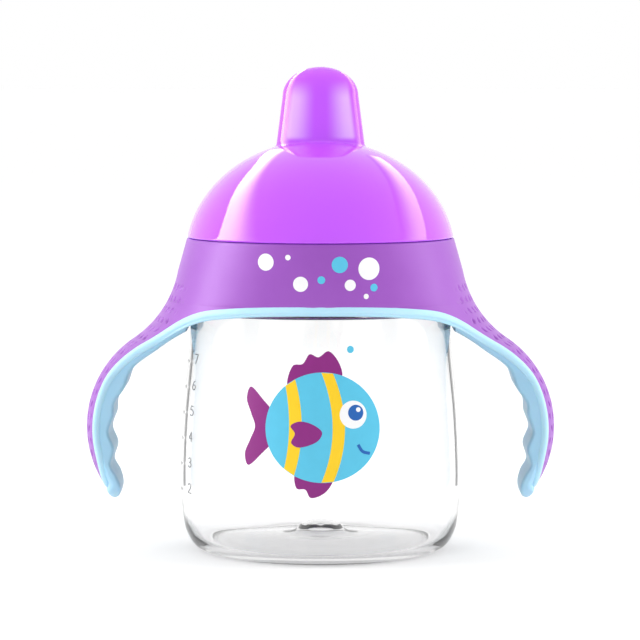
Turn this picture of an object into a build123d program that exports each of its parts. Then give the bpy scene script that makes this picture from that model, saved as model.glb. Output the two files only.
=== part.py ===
from build123d import *

import math
import os

# Sippy cup with a two-handled collar, screw-on spout lid and snap cap.
# Millimetres. The origin is the centre of the foot ring, on the surface the cup stands on.
# +Z is up, the handles lie along X and the printed side faces -Y.

# Well outside the cup: half-size of the blocks that cut it
FAR = 100.0

# Cup
FOOT_RADIUS = 31.8
BELLY_RADIUS = 38.6
BELLY_HEIGHT = 19.0
WAIST_RADIUS = 35.6
SHOULDER_HEIGHT = 70.6
SHOULDER_ROUND = 1.8
INNER_SHOULDER = (33.8, 66.4)
CUP_WALL = 1.7
NECK_RADIUS = 31.8
MOUTH_RADIUS = 30.0
RIM_HEIGHT = 87.0
RIM_ROUND = 0.5
FLOOR_EDGE = (29.0, 2.9)
FLOOR_HEIGHT = 3.3
NUB_FOOT = (10.0, FLOOR_HEIGHT)
NUB_TOP = (2.6, 7.1)

# Screw thread between cup neck and screw ring
LEAD = 4.0
THREAD_TURNS = 1.25
THREAD_ROOT_WIDTH = 1.9
THREAD_CREST_WIDTH = 1.0
THREAD_DEPTH = 1.2
THREAD_START = 76.0
WELD = 0.25

# Handle collar: a band whose sides flare out and down into two handles.
# Level sections are ellipses. Half-width along X follows two tangent arcs of one radius, a hollow one
# for the flare and a round one for the grip. Half-depth along Y is near constant.
COLLAR_TOP = 86.1
COLLAR_TOP_RADIUS = 36.7
BAND_RADIUS = 37.6
FLARE_TOP = 77.0
FLARE_CENTRE = (68.0, 82.6)
HANDLE_REACH = 64.6
GRIP_HEIGHT = 34.0
HANDLE_FOOT = 12.0
SHELL_WALL = 1.8
BAND_WALL = 1.45
HANDLE_HALF_WIDTH = 9.3
HANDLE_BEND = 46.0
SHELL_TIP = 18.1
ARCH_TOP = 69.9
BEAD_WIDTH = 2.0
TRIM_SPLIT = 62.4
CORE_TOP = 66.0
CORE_UNDERSIDE = 61.6
CORE_TIP = 14.1
CORE_INSET = 0.9
COLLAR_BORE = 35.2
SKIRT_BORE = 36.1
LEDGE_BORE = 32.2
LEDGE_BOTTOM = 70.8
LEDGE_TOP = 72.2

# Screw ring
RING_RADIUS = 34.8
RING_BORE = 33.3
RING_BOTTOM = 72.4
RING_STEP = 86.0
RING_RIB_RADIUS = 34.2
RING_TOP = 90.9
RING_CHAMFER = (1.4, 2.2)
RING_LIP_BOTTOM = 89.5
RING_LIP_RADIUS = 28.4
GRIP_GROOVES = 36
GROOVE_RADIUS = 0.7
GROOVE_DEPTH = 0.4
GROOVE_START = 86.3

# Spout lid and its silicone parts
GASKET_THICKNESS = 1.2
GASKET_RADIUS = 32.4
GASKET_BORE = 29.2
LID_RADIUS = 32.6
LID_FLANGE = 1.2
LID_SKIRT_BOTTOM = 83.5
LID_SKIRT_RADIUS = 29.0
DECK_RADIUS = 27.6
DECK_WALL = 1.5
DECK_TOP = 98.4
DECK_SHOULDER = (15.0, 95.9)
SPOUT_A = 8.8
SPOUT_B = 3.7
SPOUT_BORE_A = 7.5
SPOUT_BORE_B = 2.4
SPOUT_LEVEL = 121.0
SPOUT_TOP = 128.4
SPOUT_BORE_TOP = 127.0
DRINK_HOLE_RADIUS = 0.8
DRINK_HOLE_PITCH = 3.2
DRINK_HOLE_LENGTH = 12.0
SOCKET_BOTTOM = 87.2
VENT_Y = 16.0
VENT_RADIUS = 3.6
VENT_BORE = 2.0
VENT_TOP = 94.4
VALVE_WALL = 1.2
VALVE_GAP = 0.1
VALVE_TOP = 90.4
WEB_WIDTH = 5.0
SLIT_WIDTH = 0.3
SPOUT_SLIT = (7.0, 4.0)
VENT_SLIT = 2.4

# Snap cap
CAP_CENTRE_HEIGHT = 81.0
CAP_HALF_WIDTH = 37.2
CAP_HALF_HEIGHT = 32.0
CAP_BOTTOM = 86.3
CAP_WALL = 1.7
CAP_LIP_TOP = 88.9
CAP_LIP_BORE = 34.55
SPOUT_TAPER = 0.13
COVER_LEVEL = 125.0
COVER_A = 10.45
COVER_B = 5.6
COVER_TOP = 133.0
COVER_BORE_A = 8.75
COVER_BORE_B = 3.9
COVER_BORE_TOP = 130.9
COVER_FOOT = 103.0
NUB_CENTRE_HEIGHT = 131.3
NUB_RADIUS = 1.6


def save(shape, name):
    """Write one node as a STEP file."""
    export_step(shape, f"parts/{name}.step")


def curve(*points, start, end):
    """Smooth curve through points, leaving along start and arriving along end."""
    return Spline(*points, tangents=[start, end], tangent_scalars=[1.0, 1.0])


def turned(*outline):
    """Solid of revolution about Z from a closed half-section given as edges in (radius, height)."""
    return revolve(Plane.XZ * make_face(list(outline)), axis=Axis.Z)


def tube(outer, inner, low, high):
    """Plain ring between two radii and two heights."""
    ring = Cylinder(outer, high - low) - Cylinder(inner, high - low)
    return Pos(0, 0, (low + high) / 2) * ring


def thread(radius, depth, start):
    """Right-hand helical ridge. Positive depth stands out of a cylinder, negative into a bore."""
    path = Helix(pitch=LEAD, height=LEAD * THREAD_TURNS, radius=radius)
    root = radius - math.copysign(WELD, depth)
    crest = radius + depth
    section = Polyline(
        (root, -THREAD_ROOT_WIDTH / 2),
        (crest, -THREAD_CREST_WIDTH / 2),
        (crest, THREAD_CREST_WIDTH / 2),
        (root, THREAD_ROOT_WIDTH / 2),
        close=True,
    )
    ridge = sweep(Plane.XZ * make_face(section), path=path, is_frenet=True)
    return Pos(0, 0, start) * ridge


# ---------------------------------------------------------------- cup

def make_cup():
    """Clear tumbler: rounded foot ring, gentle belly, shoulder, threaded neck, raised nub in the floor."""
    waist = (WAIST_RADIUS, SHOULDER_HEIGHT - SHOULDER_ROUND)
    outside = curve(
        (FOOT_RADIUS, 0.0),
        (34.9, 1.5),
        (37.3, 5.6),
        (BELLY_RADIUS, BELLY_HEIGHT),
        (37.8, 40.0),
        (36.2, 56.4),
        waist,
        start=(1, 0),
        end=(-0.05, 1),
    )
    neck = Polyline(
        waist,
        (WAIST_RADIUS - 1.2, SHOULDER_HEIGHT),
        (NECK_RADIUS, SHOULDER_HEIGHT),
        (NECK_RADIUS, RIM_HEIGHT - RIM_ROUND),
        (NECK_RADIUS - RIM_ROUND, RIM_HEIGHT),
        (MOUTH_RADIUS + RIM_ROUND, RIM_HEIGHT),
        (MOUTH_RADIUS, RIM_HEIGHT - RIM_ROUND),
        (MOUTH_RADIUS, SHOULDER_HEIGHT - 1.2),
        INNER_SHOULDER,
    )
    inside = curve(
        INNER_SHOULDER,
        (34.5, 56.4),
        (36.1, 40.0),
        (BELLY_RADIUS - CUP_WALL, BELLY_HEIGHT),
        (35.4, 7.4),
        (33.0, 4.1),
        FLOOR_EDGE,
        start=(0.05, -1),
        end=(-1, -0.02),
    )
    floor = Line(FLOOR_EDGE, NUB_FOOT)
    nub = curve(NUB_FOOT, (7.3, 4.7), (5.2, 6.5), NUB_TOP, start=(-1, 0), end=(-1, 0))
    nub_radius, nub_height = NUB_TOP
    underside = Polyline(
        NUB_TOP,
        (0.0, nub_height),
        (0.0, nub_height - CUP_WALL),
        (nub_radius + 0.8, nub_height - CUP_WALL - 0.1),
        (NUB_FOOT[0] - 0.7, FLOOR_HEIGHT - CUP_WALL),
        (FLOOR_EDGE[0] - 0.4, 1.1),
        (FOOT_RADIUS - 1.0, 0.0),
        (FOOT_RADIUS, 0.0),
    )
    body = turned(outside, neck, inside, floor, nub, underside)
    return body + thread(NECK_RADIUS, THREAD_DEPTH, THREAD_START)


# ---------------------------------------------------------------- handle collar

def bend_radius():
    """Radius at which the flare's arc and the grip's arc touch, with the grip reaching HANDLE_REACH."""
    spread = FLARE_CENTRE[0] - HANDLE_REACH
    drop = FLARE_CENTRE[1] - GRIP_HEIGHT
    return (spread + math.sqrt(4 * spread ** 2 + 3 * drop ** 2)) / 3


def collar_half_width(height, inset):
    """Half-width along X of the collar's level section, on a skin this far inside the outer one."""
    if height > FLARE_TOP:
        foot = collar_half_width(FLARE_TOP, inset)
        rise = (height - FLARE_TOP) / (COLLAR_TOP - FLARE_TOP)
        return foot + (COLLAR_TOP_RADIUS - inset - foot) * rise
    radius = bend_radius()
    flare_x, flare_z = FLARE_CENTRE
    share = (radius - inset) / (2 * radius)
    if height > GRIP_HEIGHT + share * (flare_z - GRIP_HEIGHT):
        return flare_x - math.sqrt((radius + inset) ** 2 - (height - flare_z) ** 2)
    return HANDLE_REACH - radius + math.sqrt((radius - inset) ** 2 - (height - GRIP_HEIGHT) ** 2)


def collar_half_depth(height, inset):
    """Half-depth along Y of the collar's level section."""
    crossover = (FLARE_CENTRE[1] + GRIP_HEIGHT) / 2
    rise = max(0.0, (height - crossover) / (COLLAR_TOP - crossover))
    return BAND_RADIUS - inset + (COLLAR_TOP_RADIUS - BAND_RADIUS) * rise ** 2


def collar_skin(side_inset, front_inset):
    """Solid bell bounded by the collar's flared skin, from the band's top to below the handle tips."""
    levels = [COLLAR_TOP, 81.5, FLARE_TOP, 72.5, 68.0, 64.0, 60.5, 57.0, 53.0, 48.0, 41.0, GRIP_HEIGHT, 27.0,
              20.0, HANDLE_FOOT]
    sections = [
        Pos(0, 0, z) * Ellipse(collar_half_width(z, side_inset), collar_half_depth(z, front_inset))
        for z in levels
    ]
    return loft(sections)


def flipper(grow, tip):
    """Side view in (Y, Z), grown outwards: the band on top, arching down to a round-ended handle."""
    half = HANDLE_HALF_WIDTH + grow
    top = ARCH_TOP - grow
    side = BAND_RADIUS + BEAD_WIDTH
    ceiling = COLLAR_TOP + BEAD_WIDTH
    edges = []
    for s in (1, -1):
        arch = [
            (s * side, top),
            (s * (24.6 + 0.4 * grow), 66.9 - 0.9 * grow),
            (s * (15.0 + 0.75 * grow), 59.6 - 0.7 * grow),
            (s * half, HANDLE_BEND),
        ]
        edges.append(curve(*arch, start=(-s, 0), end=(0, -1)))
        edges.append(Line((s * half, HANDLE_BEND), (s * half, tip + half)))
        edges.append(Line((s * side, top), (s * side, ceiling)))
    edges.append(ThreePointArc((half, tip + half), (0, tip), (-half, tip + half)))
    edges.append(Line((side, ceiling), (-side, ceiling)))
    return extrude(Plane.YZ * make_face(edges), FAR, both=True)


def collar_room():
    """Room inside the collar for the cup, under the clamping ledge, and for the screw ring above it."""
    skirt = Pos(0, 0, LEDGE_BOTTOM / 2) * Cylinder(SKIRT_BORE, LEDGE_BOTTOM)
    ledge = Pos(0, 0, LEDGE_TOP) * Cylinder(LEDGE_BORE, 2 * SHELL_WALL)
    upper = Pos(0, 0, (LEDGE_TOP + FAR) / 2) * Cylinder(COLLAR_BORE, FAR - LEDGE_TOP)
    return skirt + ledge + upper


def below(height):
    """Everything under a level, as a wide block."""
    return Pos(0, 0, height - FAR) * Box(2 * FAR, 2 * FAR, 2 * FAR)


def finger_side():
    """Front view in (X, Z) of a soft grip, outboard of its scalloped finger side."""
    underside_edge = (36.0, CORE_UNDERSIDE)
    tip = (56.4, CORE_TIP)
    fingers = curve(
        underside_edge,
        (44.4, 56.1),
        (51.2, 50.8),
        (53.3, 45.6),
        (55.9, 41.8),
        (56.0, 38.3),
        (57.4, 33.7),
        (56.0, 29.1),
        (56.9, 24.4),
        (54.5, 17.9),
        tip,
        start=(1, -0.4),
        end=(1, 0),
    )
    back = Polyline(
        tip,
        (tip[0] + 2.2, CORE_TIP + 2.1),
        (HANDLE_REACH + BEAD_WIDTH, 24.0),
        (HANDLE_REACH + BEAD_WIDTH, CORE_TOP),
        (28.0, CORE_TOP),
        (28.0, CORE_UNDERSIDE),
        underside_edge,
    )
    return extrude(Plane.XZ * make_face([fingers, back]), FAR, both=True)


def make_collar():
    """Rigid shell; soft overmould as two trims under the band and one padded grip per handle."""
    outer = collar_skin(0.0, 0.0)
    inner = collar_skin(SHELL_WALL, BAND_WALL) & below(CORE_TOP)
    room = collar_room()
    wall = outer - inner - room
    shell_area = flipper(0.0, SHELL_TIP)
    shell = wall & shell_area
    bead = (wall & flipper(BEAD_WIDTH, SHELL_TIP - BEAD_WIDTH)) - shell_area
    under_trims = below(TRIM_SPLIT)
    padding = inner + (outer & below(SHELL_TIP) - shell_area)
    core = (padding & flipper(-CORE_INSET, CORE_TIP)) - room
    right_side = Pos(FAR, 0, 0) * Box(2 * FAR, 2 * FAR, 2 * FAR)
    right = (core & finger_side()) + (bead & under_trims & right_side)
    left = mirror(right, about=Plane.YZ)
    front_side = Pos(0, -FAR, 0) * Box(2 * FAR, 2 * FAR, 2 * FAR)
    front = (bead - under_trims) & front_side
    back = mirror(front, about=Plane.XZ)
    return {
        "handle_shell": shell,
        "front_trim": front,
        "back_trim": back,
        "right_grip": right,
        "left_grip": left,
    }


# ---------------------------------------------------------------- closure

def make_ring():
    """Screw ring: threaded skirt inside the collar, knurled shoulder and inward clamping lip."""
    section = Polyline(
        (RING_BORE, RING_BOTTOM),
        (RING_RADIUS, RING_BOTTOM),
        (RING_RADIUS, RING_STEP),
        (RING_RIB_RADIUS, RING_STEP),
        (RING_RIB_RADIUS, RING_TOP - RING_CHAMFER[1]),
        (RING_RIB_RADIUS - RING_CHAMFER[0], RING_TOP),
        (RING_LIP_RADIUS, RING_TOP),
        (RING_LIP_RADIUS, RING_LIP_BOTTOM),
        (RING_BORE, RING_LIP_BOTTOM),
        close=True,
    )
    ring = turned(section) + thread(RING_BORE, -THREAD_DEPTH, THREAD_START - LEAD / 2)
    length = FAR - GROOVE_START
    centre = Pos(RING_RIB_RADIUS + GROOVE_RADIUS - GROOVE_DEPTH, 0, GROOVE_START + length / 2)
    for i in range(GRIP_GROOVES):
        ring -= Rot(0, 0, 360.0 * i / GRIP_GROOVES) * (centre * Cylinder(GROOVE_RADIUS, length))
    return ring


def oval_cone(half_width, half_depth, level, low, top):
    """Tapered oval post with a domed end: a turned post squeezed along Y."""
    flank = Polyline(
        (0.0, top),
        (0.0, low),
        (half_width + SPOUT_TAPER * (level - low), low),
        (half_width, level),
    )
    crown = EllipticalCenterArc((0.0, level), half_width, top - level, start_angle=0, arc_size=90)
    return scale(turned(flank, crown), by=(1.0, half_depth / half_width, 1.0))


def make_lid():
    """Drinking lid: flange on the gasket, centring skirt, domed deck, oval spout, valve sockets."""
    seat = RIM_HEIGHT + GASKET_THICKNESS
    flange_top = seat + LID_FLANGE
    shoulder_radius, shoulder_height = DECK_SHOULDER
    over = ThreePointArc((DECK_RADIUS, flange_top), DECK_SHOULDER, (0.0, DECK_TOP))
    inner_edge = (DECK_RADIUS - 1.8, seat)
    under = ThreePointArc(
        (0.0, DECK_TOP - DECK_WALL),
        (shoulder_radius - 0.8, shoulder_height - DECK_WALL + 0.1),
        inner_edge,
    )
    skirt_bore = LID_SKIRT_RADIUS - DECK_WALL
    rim = Polyline(
        inner_edge,
        (skirt_bore, seat - 0.4),
        (skirt_bore, LID_SKIRT_BOTTOM),
        (LID_SKIRT_RADIUS, LID_SKIRT_BOTTOM),
        (LID_SKIRT_RADIUS, seat),
        (LID_RADIUS, seat),
        (LID_RADIUS, flange_top),
        (DECK_RADIUS, flange_top),
    )
    axis_line = Line((0.0, DECK_TOP), (0.0, DECK_TOP - DECK_WALL))
    lid = turned(over, under, rim, axis_line)
    vent = Pos(0, VENT_Y, (SOCKET_BOTTOM + VENT_TOP) / 2)
    channel_start = SOCKET_BOTTOM - DECK_WALL
    lid += oval_cone(SPOUT_A, SPOUT_B, SPOUT_LEVEL, SOCKET_BOTTOM, SPOUT_TOP)
    lid += vent * Cylinder(VENT_RADIUS, VENT_TOP - SOCKET_BOTTOM)
    lid -= oval_cone(SPOUT_BORE_A, SPOUT_BORE_B, SPOUT_LEVEL, channel_start, SPOUT_BORE_TOP)
    lid -= vent * Cylinder(VENT_BORE, 2 * (VENT_TOP - SOCKET_BOTTOM))
    for i in (-1, 0, 1):
        lid -= Pos(i * DRINK_HOLE_PITCH, 0, SPOUT_TOP) * Cylinder(DRINK_HOLE_RADIUS, DRINK_HOLE_LENGTH)
    return lid


def socket_oval(grow):
    """Outline of the spout's lower end, grown outwards."""
    half_width = SPOUT_A + SPOUT_TAPER * (SPOUT_LEVEL - SOCKET_BOTTOM)
    return Ellipse(half_width + grow, half_width * SPOUT_B / SPOUT_A + grow)


def make_valve():
    """Silicone flow valve: an oval cup on the spout's socket, a round cup on the vent, one web."""
    floor = SOCKET_BOTTOM - VALVE_WALL
    height = VALVE_TOP - floor
    outside = VALVE_GAP + VALVE_WALL
    vent_outside = Pos(0, VENT_Y) * Circle(VENT_RADIUS + outside)
    vent_inside = Pos(0, VENT_Y) * Circle(VENT_RADIUS + VALVE_GAP)
    web = Pos(0, VENT_Y / 2) * Rectangle(WEB_WIDTH, VENT_Y - VENT_RADIUS)
    valve = extrude(Pos(0, 0, floor) * (socket_oval(outside) + vent_outside + web), VALVE_WALL)
    walls = socket_oval(outside) - socket_oval(VALVE_GAP) + (vent_outside - vent_inside)
    valve += extrude(Pos(0, 0, floor) * walls, height)
    slit_x, slit_y = SPOUT_SLIT
    deep = 3 * VALVE_WALL
    valve -= Pos(0, 0, floor) * Box(slit_x, SLIT_WIDTH, deep)
    valve -= Pos(0, 0, floor) * Box(SLIT_WIDTH, slit_y, deep)
    valve -= Pos(0, VENT_Y, floor) * Box(VENT_SLIT, SLIT_WIDTH, deep)
    return valve


def make_cap():
    """Clip-on hygiene cap: elliptical dome, oval spout cover with a sealing nub, lip at the bottom."""
    def dome(inset):
        width = CAP_HALF_WIDTH - inset
        height = CAP_HALF_HEIGHT - inset
        arc = EllipticalCenterArc((0.0, CAP_CENTRE_HEIGHT), width, height, start_angle=0, arc_size=90)
        centre = (0.0, CAP_CENTRE_HEIGHT)
        close = Polyline((0.0, CAP_CENTRE_HEIGHT + height), centre, (width, CAP_CENTRE_HEIGHT))
        return turned(arc, close)

    outer = dome(0.0) + oval_cone(COVER_A, COVER_B, COVER_LEVEL, COVER_FOOT, COVER_TOP)
    lip = below(CAP_LIP_TOP) - Cylinder(CAP_LIP_BORE, 4 * FAR)
    inner = dome(CAP_WALL) - lip
    inner += oval_cone(COVER_BORE_A, COVER_BORE_B, COVER_LEVEL, COVER_FOOT - 2 * CAP_WALL, COVER_BORE_TOP)
    cap = outer - inner - below(CAP_BOTTOM)
    cap += Pos(0, 0, NUB_CENTRE_HEIGHT) * Sphere(NUB_RADIUS)
    return cap


if __name__ == "__main__":
    os.makedirs("parts", exist_ok=True)
    seat = RIM_HEIGHT + GASKET_THICKNESS
    pieces = {
        "cup_body": make_cup(),
        **make_collar(),
        "screw_ring": make_ring(),
        "spout_lid": make_lid(),
        "lid_gasket": tube(GASKET_RADIUS, GASKET_BORE, RIM_HEIGHT, seat),
        "flow_valve": make_valve(),
        "snap_cap": make_cap(),
    }
    for name, piece in pieces.items():
        save(piece, name)
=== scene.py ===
import math

import bmesh
import bpy
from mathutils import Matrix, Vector


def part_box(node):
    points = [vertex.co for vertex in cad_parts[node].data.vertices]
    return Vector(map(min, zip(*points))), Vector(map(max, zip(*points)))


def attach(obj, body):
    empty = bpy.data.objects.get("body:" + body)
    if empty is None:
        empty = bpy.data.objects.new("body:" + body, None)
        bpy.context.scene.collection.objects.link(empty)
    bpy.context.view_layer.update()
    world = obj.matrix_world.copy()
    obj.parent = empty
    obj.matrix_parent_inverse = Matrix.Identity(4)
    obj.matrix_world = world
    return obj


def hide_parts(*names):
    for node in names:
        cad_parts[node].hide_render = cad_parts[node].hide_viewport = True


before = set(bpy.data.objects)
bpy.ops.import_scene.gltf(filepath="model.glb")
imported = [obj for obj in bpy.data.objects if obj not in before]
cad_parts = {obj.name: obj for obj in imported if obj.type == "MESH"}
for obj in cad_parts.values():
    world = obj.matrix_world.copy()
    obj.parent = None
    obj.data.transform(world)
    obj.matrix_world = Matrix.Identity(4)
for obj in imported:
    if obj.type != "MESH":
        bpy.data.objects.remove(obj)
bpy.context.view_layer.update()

# Shapes are worked out in millimetres, with the cup's axis on Z and its printed side facing -Y.
MM = 0.001
FRONT = -1.0


def low(node):
    """Lowest corner of a CAD node, in millimetres."""
    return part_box(node)[0] / MM


def high(node):
    """Highest corner of a CAD node, in millimetres."""
    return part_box(node)[1] / MM


# ---------------- sizes

CUP_RIM = high("cup_body").z
CUP_BELLY = high("cup_body").y
CUP_NECK = 31.8
CUP_MOUTH = 30.0
CUP_SHOULDER = 70.6
CUP_WAIST = 35.6
THREAD_LEAD = 4.0
THREAD_TURNS = 1.25
THREAD_START = 76.0
THREAD_DEPTH = 1.2

COLLAR_TOP = high("handle_shell").z
COLLAR_TOP_RADIUS = 36.7
BAND_RADIUS = 37.6
HANDLE_REACH = high("handle_shell").x
SHELL_TIP = low("handle_shell").z
GRIP_TIP = low("left_grip").z
FLARE_TOP = 77.0
FLARE_CENTRE = (68.0, 82.6)
GRIP_HEIGHT = 34.0
CROSSOVER = (FLARE_CENTRE[1] + GRIP_HEIGHT) / 2
ARCH_TOP = 69.9
HANDLE_HALF_WIDTH = 9.3
BEND_HEIGHT = 46.0
SKIRT_BORE = 36.15
COLLAR_BORE = 35.2
LEDGE = (32.2, 70.8, 72.2)
SHELL_WALL = 1.6
CORE_SPREAD = 1.1

CAP_BOTTOM = low("snap_cap").z
CAP_TOP = high("snap_cap").z
CAP_CENTRE = 81.0
CAP_HALF_WIDTH = 37.2
CAP_HALF_HEIGHT = 32.0
CAP_WALL = 1.7
CAP_LIP = 34.6
SPOUT_HALF = (10.45, 5.6)
SPOUT_CROWN = 8.0
SPOUT_TAPER = 0.13


# ---------------- small maths

def smoothstep(low_edge, high_edge, value):
    """0 below the low edge, 1 above the high edge, smooth between."""
    t = min(1.0, max(0.0, (value - low_edge) / (high_edge - low_edge)))
    return t * t * (3.0 - 2.0 * t)


def through(points, step=0.8):
    """Smooth path through points (centripetal Catmull-Rom), sampled about every step."""
    pts = [Vector(p) for p in points]
    pts = [2 * pts[0] - pts[1]] + pts + [2 * pts[-1] - pts[-2]]
    path = []
    for a, b, c, d in zip(pts, pts[1:], pts[2:], pts[3:]):
        t1 = max(1e-6, (b - a).length ** 0.5)
        t2 = t1 + max(1e-6, (c - b).length ** 0.5)
        t3 = t2 + max(1e-6, (d - c).length ** 0.5)
        count = max(1, round((c - b).length / step))
        for i in range(count):
            t = t1 + (t2 - t1) * i / count
            p1 = a * ((t1 - t) / t1) + b * (t / t1)
            p2 = b * ((t2 - t) / (t2 - t1)) + c * ((t - t1) / (t2 - t1))
            p3 = c * ((t3 - t) / (t3 - t2)) + d * ((t - t2) / (t3 - t2))
            q1 = p1 * ((t2 - t) / t2) + p2 * (t / t2)
            q2 = p2 * ((t3 - t) / (t3 - t1)) + p3 * ((t - t1) / (t3 - t1))
            path.append(q1 * ((t2 - t) / (t2 - t1)) + q2 * ((t - t1) / (t2 - t1)))
    path.append(pts[-2])
    return path


def resample(path, count):
    """The same path as count + 1 evenly spaced points."""
    lengths = [0.0]
    for a, b in zip(path, path[1:]):
        lengths.append(lengths[-1] + (b - a).length)
    result = []
    k = 0
    for i in range(count + 1):
        want = lengths[-1] * i / count
        while k < len(path) - 2 and lengths[k + 1] < want:
            k += 1
        span = max(1e-9, lengths[k + 1] - lengths[k])
        result.append(path[k].lerp(path[k + 1], (want - lengths[k]) / span))
    return result


def arc(centre, radius, start, end, count=6):
    """Points of an arc in a half-section, angles in degrees from +radius towards +height."""
    points = []
    for i in range(count + 1):
        a = math.radians(start + (end - start) * i / count)
        points.append(Vector((centre[0] + radius * math.cos(a), centre[1] + radius * math.sin(a))))
    return points


# ---------------- mesh making

def mesh_object(name, points, faces, material, body, finish, *replaced):
    """A smooth-shaded piece from points in millimetres. It rides on a body and stands for the CAD nodes
    that it replaces. The finish argument is not used."""
    mesh = bpy.data.meshes.new(name)
    mesh.from_pydata([Vector(p) * MM for p in points], [], faces)
    work = bmesh.new()
    work.from_mesh(mesh)
    bmesh.ops.remove_doubles(work, verts=work.verts, dist=1e-7)
    bmesh.ops.recalc_face_normals(work, faces=work.faces)
    work.to_mesh(mesh)
    work.free()
    for face in mesh.polygons:
        face.use_smooth = True
    mesh.materials.append(material)
    piece = bpy.data.objects.new(name, mesh)
    bpy.context.scene.collection.objects.link(piece)
    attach(piece, body)
    if replaced:
        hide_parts(*replaced)
    return piece


def add_row(points, row):
    """Adds a row of points and returns their numbers."""
    points.extend(row)
    return list(range(len(points) - len(row), len(points)))


def strip_faces(first, second, closed):
    """Quads between two equally long rows of point numbers."""
    count = len(first) if closed else len(first) - 1
    size = len(first)
    return [(first[i], first[(i + 1) % size], second[(i + 1) % size], second[i]) for i in range(count)]


def lathe(profile, segments, shape=None):
    """Points and faces of a half-section turned about Z. shape may move each point of the result."""
    points = []
    rows = []
    for r, z in profile:
        if r < 1e-6:
            points.append(Vector((0.0, 0.0, z)))
            rows.append([len(points) - 1] * segments)
            continue
        row = []
        for j in range(segments):
            a = math.tau * j / segments
            radius = shape(r, z, a) if shape else r
            points.append(Vector((radius * math.cos(a), radius * math.sin(a), z)))
            row.append(len(points) - 1)
        rows.append(row)
    faces = []
    for upper, lower in zip(rows, rows[1:]):
        for a, b, c, d in strip_faces(upper, lower, closed=True):
            faces.append([a, b, c, d] if a != b and c != d else ([a, c, d] if a == b else [a, b, c]))
    return points, faces


# ---------------- materials

def fill_inputs(tree, node, values):
    """Fills a node's inputs, named with underscores for spaces, from values or from other nodes' outputs."""
    for key, value in values.items():
        slot = node.inputs[key.replace("_", " ")]
        if isinstance(value, bpy.types.NodeSocket):
            tree.links.new(value, slot)
        else:
            slot.default_value = value


def add_node(tree, kind, **values):
    """A shader node with its inputs filled."""
    node = tree.nodes.new("ShaderNode" + kind)
    fill_inputs(tree, node, values)
    return node


def axis_of(tree, space, axis):
    """One coordinate of a shaded point."""
    coords = add_node(tree, "TexCoord").outputs[space]
    return add_node(tree, "SeparateXYZ", Vector=coords).outputs[axis]


def map_range(tree, value, start, end, low_value, high_value, easing="SMOOTHSTEP"):
    """Goes from low_value to high_value as the value goes from start to end."""
    node = add_node(tree, "MapRange", Value=value, From_Min=start, From_Max=end)
    fill_inputs(tree, node, {"To_Min": low_value, "To_Max": high_value})
    node.interpolation_type = easing
    return node.outputs["Result"]


def math_node(tree, operation, *values):
    """Result of a math node on outputs and numbers."""
    node = tree.nodes.new("ShaderNodeMath")
    node.operation = operation
    for value, slot in zip(values, node.inputs):
        if isinstance(value, float):
            slot.default_value = value
        else:
            tree.links.new(value, slot)
    return node.outputs["Value"]


def principled(name, colour, **values):
    """A node material with one Principled shader. Returns the material, its tree and the shader."""
    material = bpy.data.materials.new(name)
    material.use_nodes = True
    tree = material.node_tree
    shader = tree.nodes["Principled BSDF"]
    fill_inputs(tree, shader, {"Base_Color": (*colour, 1.0), **values})
    return material, tree, shader


def add_noise(tree, scale, detail=3.0):
    """Object-space noise, in features per metre."""
    coords = add_node(tree, "TexCoord").outputs["Object"]
    return add_node(tree, "TexNoise", Vector=coords, Scale=scale, Detail=detail).outputs["Fac"]


def add_relief(tree, shader, scale, height, strength, detail=3.0):
    """Fine surface relief from a noise, height in metres."""
    noise = add_noise(tree, scale, detail)
    bump = add_node(tree, "Bump", Strength=strength, Distance=height, Height=noise)
    tree.links.new(bump.outputs["Normal"], shader.inputs["Normal"])


def vary_roughness(tree, shader, scale, lowest, highest):
    """Roughness that drifts a little over the surface."""
    drift = map_range(tree, add_noise(tree, scale), 0.0, 1.0, lowest, highest, "LINEAR")
    tree.links.new(drift, shader.inputs["Roughness"])


def vary_colour(tree, shader, scale, dark, light, detail=3.0):
    """Base colour that drifts between two near shades. Returns the colour's output."""
    ramp = add_node(tree, "ValToRGB", Fac=add_noise(tree, scale, detail))
    for element, position, colour in zip(ramp.color_ramp.elements, (0.35, 0.65), (dark, light)):
        element.position = position
        element.color = (*colour, 1.0)
    tree.links.new(ramp.outputs["Color"], shader.inputs["Base Color"])
    return ramp.outputs["Color"]


def surface(name, colour, rough, tint=None, relief=None, **values):
    """Material whose roughness, and where given tint and relief, drift over the surface.

    rough is (features per metre, lowest, highest), tint is (features per metre, dark, light) and relief is
    (features per metre, height in metres, strength).
    """
    material, tree, shader = principled(name, colour, **values)
    vary_roughness(tree, shader, *rough)
    if tint:
        vary_colour(tree, shader, *tint)
    if relief:
        add_relief(tree, shader, *relief)
    return material


def clear_plastic():
    material, tree, shader = principled(
        "clear_plastic", (1.0, 1.0, 1.0), Transmission_Weight=1.0, IOR=1.49, Roughness=0.0
    )
    add_relief(tree, shader, 45.0, 0.00002, 0.15, detail=1.0)
    return material


def painted_spout_highlight(tree):
    """Mask of the painted highlight on the spout cover: its tint is painted paler beside its middle, above
    the dome and below the rounded tip.
    Widths are shares of the cover's own half width, which tapers upwards."""
    height = axis_of(tree, "Object", "Z")
    across = math_node(tree, "ABSOLUTE", axis_of(tree, "Object", "X"))
    share = math_node(tree, "DIVIDE", across, math_node(tree, "MULTIPLY_ADD", height, -0.16, 0.0303))
    amount = map_range(tree, share, 0.10, 0.66, 0.0, 0.85)
    for limit in (
        map_range(tree, share, 0.70, 0.84, 1.0, 0.0),
        map_range(tree, height, 0.1126, 0.1142, 0.0, 1.0),
        map_range(tree, height, 0.1240, 0.1300, 1.0, 0.0),
    ):
        amount = math_node(tree, "MULTIPLY", amount, limit)
    return amount


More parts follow.
